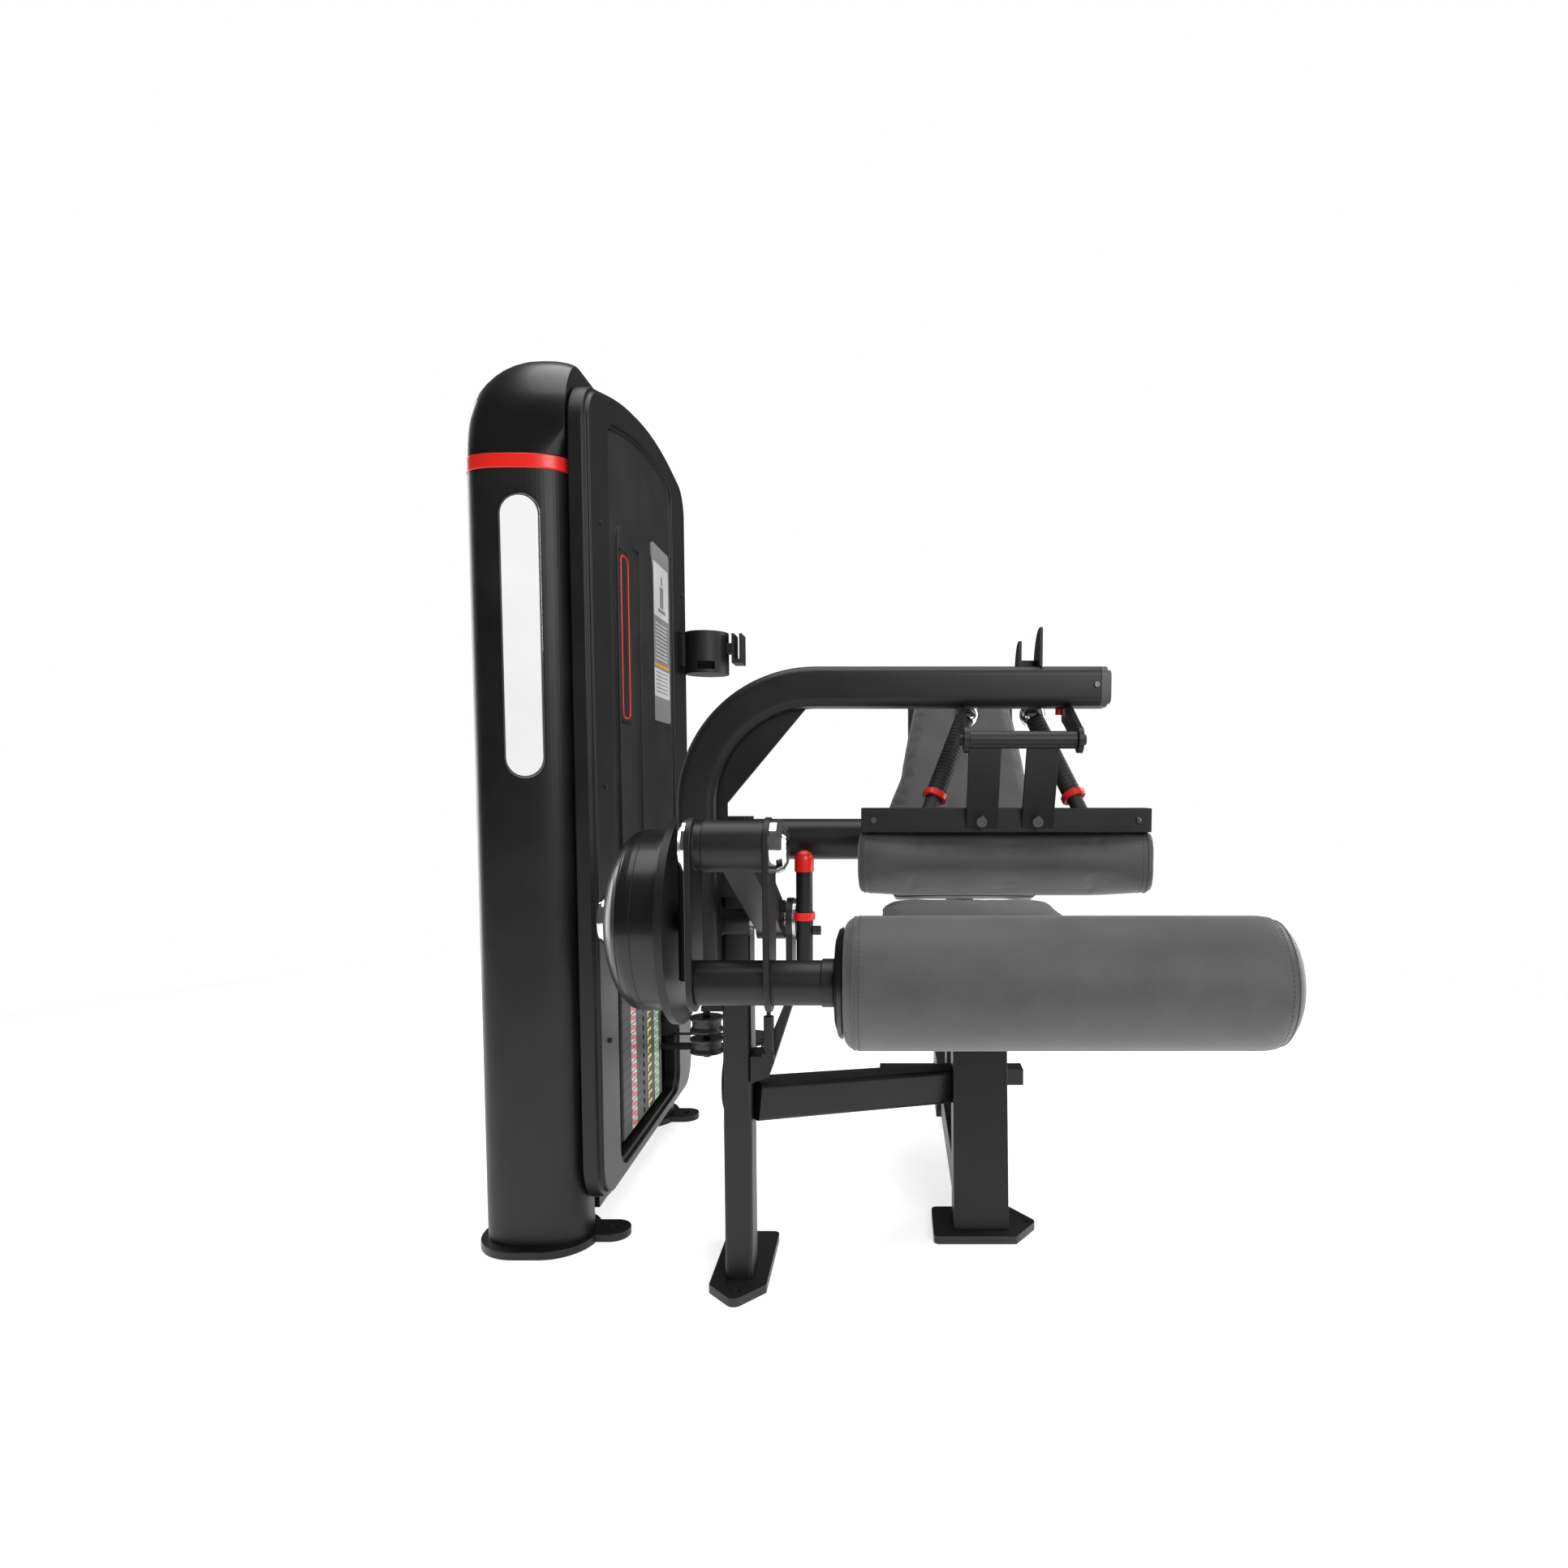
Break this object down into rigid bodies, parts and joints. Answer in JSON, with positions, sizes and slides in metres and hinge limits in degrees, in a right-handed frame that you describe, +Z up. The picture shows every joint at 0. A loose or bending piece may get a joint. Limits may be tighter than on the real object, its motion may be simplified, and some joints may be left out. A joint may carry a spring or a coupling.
{
  "type": "leg extension machine",
  "caption": "Selectorised leg machine: shrouded weight tower, seat and back rest, thigh hold-down on an arch, and a swinging roller arm driven by a cam and cable.",
  "frame": {"origin": "the pivot post's floor anchor hole, at floor level", "axes": "+X from the tower to the seat side, +Y from the roller towards the back rest, +Z up"},
  "size_m": [1.203, 1.468, 1.508],
  "materials": {
    "black_paint": "satin powder coat",
    "gloss_shell": "glossy moulded shell",
    "shroud_skin": "fine textured sheet",
    "dark_moulding": "fine textured moulding",
    "upholstery": "grained vinyl",
    "red_accent": "gloss",
    "bright_metal": "polished",
    "ground_steel": "ground rod",
    "white_panel": "gloss",
    "plate_iron": "painted casting",
    "pulley_nylon": "moulded",
    "cable_coat": "coated steel cable",
    "label_print": "printed sheet"
  },
  "bodies": {
    "frame": {"tower_feet": "black_paint", "front_column": "black_paint", "rear_column": "black_paint", "column_ring": "red_accent", "tower_roof": "gloss_shell", "light_panel": "white_panel", "light_rim": "bright_metal", "inner_shroud": "shroud_skin", "outer_shroud": "shroud_skin", "guard_panel": "dark_moulding", "label_strip": "label_print", "placard": "label_print", "stack_base": "black_paint", "top_beam": "black_paint", "guide_rods": "ground_steel", "rod_bumpers": "cable_coat", "resting_plates": "plate_iron", "cup_holder": "dark_moulding", "station_feet": "dark_moulding", "pivot_post": "black_paint", "cross_beam": "black_paint", "pivot_bracket": "black_paint", "knee_bearings": "ground_steel", "pulley_brackets": "black_paint", "drive_cable": "cable_coat", "arch": "black_paint", "arch_details": "black_paint", "thigh_hanger": "black_paint", "seat_base": "black_paint", "seat_pad": "upholstery"},
    "arm": {"knee_shaft": "ground_steel", "cam": "black_paint", "cam_cover": "gloss_shell", "cam_hub_cap": "bright_metal", "arm": "black_paint"},
    "carriage": {"link_plates": "black_paint", "link_pin": "bright_metal", "roller_tube": "black_paint"},
    "roller": {"roller_disc": "gloss_shell", "roller_pad": "upholstery"},
    "stack": {"lifted_plates": "plate_iron", "selector_stem": "ground_steel", "stack_cable": "cable_coat"},
    "pin": {"selector_pin": "red_accent"},
    "front_top_wheel": {"front_top_pulley": "pulley_nylon"},
    "rear_top_wheel": {"rear_top_pulley": "pulley_nylon"},
    "low_wheel": {"low_pulley": "pulley_nylon"},
    "turn_wheel": {"turn_pulley": "pulley_nylon"},
    "rise_wheel": {"rise_pulley": "pulley_nylon"},
    "idlers": {"idler_pulleys": "pulley_nylon"},
    "lever": {"start_lever": "black_paint"},
    "lever_button": {"lever_knob": "dark_moulding"},
    "thigh": {"thigh_frame": "black_paint", "thigh_pad": "upholstery", "grips": "dark_moulding"},
    "thigh_button": {"thigh_knob": "red_accent"},
    "back": {"back_carriage": "black_paint", "back_pad": "upholstery"},
    "back_button": {"back_knob": "red_accent"},
    "jaw": {"phone_jaw": "dark_moulding"}
  },
  "joints": [
    {"name": "arm_swing", "type": "hinge", "parent": "frame", "child": "arm", "pos_m": [0.053, 0.056, 0.582], "axis": [1, 0, 0], "range_deg": [0, 65]},
    {"name": "link_swing", "type": "hinge", "parent": "arm", "child": "carriage", "pos_m": [0.053, -0.269, 0.717], "axis": [1, 0, 0], "range_deg": [-12, 12]},
    {"name": "roller_spin", "type": "hinge", "parent": "carriage", "child": "roller", "pos_m": [0.452, -0.269, 0.55], "axis": [1, 0, 0], "continuous": true},
    {"name": "stack_lift", "type": "slide", "parent": "frame", "child": "stack", "axis": [0, 0, 1], "range_m": [0, 0.13], "deforming": ["stack_cable"]},
    {"name": "pin_pull", "type": "slide", "parent": "stack", "child": "pin", "axis": [1, 0, 0], "range_m": [0, 0.075]},
    {"name": "front_top_spin", "type": "hinge", "parent": "frame", "child": "front_top_wheel", "pos_m": [-0.316, 0.5478, 1.372], "axis": [1, 0, 0], "range_deg": [-150, 0]},
    {"name": "rear_top_spin", "type": "hinge", "parent": "frame", "child": "rear_top_wheel", "pos_m": [-0.316, 0.6612, 1.372], "axis": [1, 0, 0], "range_deg": [-150, 0]},
    {"name": "rise_spin", "type": "hinge", "parent": "frame", "child": "rise_wheel", "pos_m": [-0.2787, 0.7105, 0.265], "axis": [0, 1, 0], "range_deg": [-195, 0]},
    {"name": "turn_spin", "type": "hinge", "parent": "frame", "child": "turn_wheel", "pos_m": [-0.0773, 0.6732, 0.2277], "axis": [0, 0, 1], "range_deg": [-195, 0]},
    {"name": "low_spin", "type": "hinge", "parent": "frame", "child": "low_wheel", "pos_m": [-0.04, 0.2186, 0.277], "axis": [1, 0, 0], "range_deg": [-150, 0]},
    {"name": "idler_spin", "type": "hinge", "parent": "frame", "child": "idlers", "pos_m": [-0.07, 0.156, 0.374], "axis": [0, 0, 1], "continuous": true},
    {"name": "lever_swing", "type": "hinge", "parent": "frame", "child": "lever", "pos_m": [0.1, 0.056, 0.582], "axis": [1, 0, 0], "range_deg": [0, 25]},
    {"name": "lever_button_pull", "type": "slide", "parent": "lever", "child": "lever_button", "axis": [1, 0, 0], "range_m": [0, 0.008], "stiffness_N_per_m": 300, "springref_m": -0.008},
    {"name": "thigh_swing", "type": "hinge", "parent": "frame", "child": "thigh", "pos_m": [0.404, -0.119, 0.852], "axis": [1, 0, 0], "range_deg": [-18, 5]},
    {"name": "thigh_button_pull", "type": "slide", "parent": "frame", "child": "thigh_button", "axis": [0, 0, -1], "range_m": [0, 0.008], "stiffness_N_per_m": 300, "springref_m": -0.008},
    {"name": "back_slide", "type": "slide", "parent": "frame", "child": "back", "axis": [0, 1, 0], "range_m": [-0.015, 0.12]},
    {"name": "back_button_pull", "type": "slide", "parent": "back", "child": "back_button", "axis": [1, 0, 0], "range_m": [0, 0.012], "stiffness_N_per_m": 300, "springref_m": -0.008},
    {"name": "jaw_open", "type": "slide", "parent": "frame", "child": "jaw", "axis": [1, 0, 0], "range_m": [0, 0.01], "stiffness_N_per_m": 300, "springref_m": -0.008}
  ],
  "couplings": [
    {"joint": "stack_lift", "follows": "arm_swing", "m_per_rad": 0.11},
    {"joint": "front_top_spin", "follows": "arm_swing", "ratio": -2.2312},
    {"joint": "rear_top_spin", "follows": "arm_swing", "ratio": -2.2312},
    {"joint": "low_spin", "follows": "arm_swing", "ratio": -2.2312},
    {"joint": "rise_spin", "follows": "arm_swing", "ratio": -2.9491},
    {"joint": "turn_spin", "follows": "arm_swing", "ratio": -2.9491}
  ]
}
